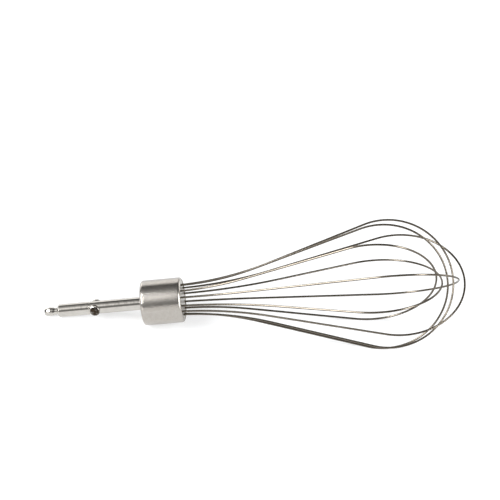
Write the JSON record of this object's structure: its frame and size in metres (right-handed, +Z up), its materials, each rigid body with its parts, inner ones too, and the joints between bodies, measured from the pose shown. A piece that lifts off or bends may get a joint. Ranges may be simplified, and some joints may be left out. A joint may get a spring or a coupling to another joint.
{
  "type": "hand mixer whisk",
  "caption": "Wire whisk attachment for a hand mixer, with nested round wire loops in a steel collar and a plug-in drive shaft with lugs and a catch nub.",
  "frame": {"origin": "on the shaft's axis, halfway along the plain pilot length between the end shoulder and the drive lugs", "axes": "+Z up with the whisk lying as it comes to rest on a table; the whisk's own axis runs from the shaft's end to the tip of the loops along +X, rising by 10.54 degrees towards +Z; +Y completes the right-handed frame"},
  "size_m": [0.203, 0.0629, 0.0622],
  "materials": {
    "shaft": "polished bright steel",
    "collar": "satin drawn steel",
    "plate": "plain pressed steel",
    "core": "moulded filler",
    "wire": "drawn stainless wire"
  },
  "bodies": {
    "root": {"drive_shaft": "shaft", "collar": "collar", "wire_plate": "plate", "core": "core", "wire_loop_1": "wire", "wire_loop_2": "wire", "wire_loop_3": "wire", "wire_loop_4": "wire", "wire_loop_5": "wire", "wire_loop_6": "wire"}
  },
  "joints": []
}
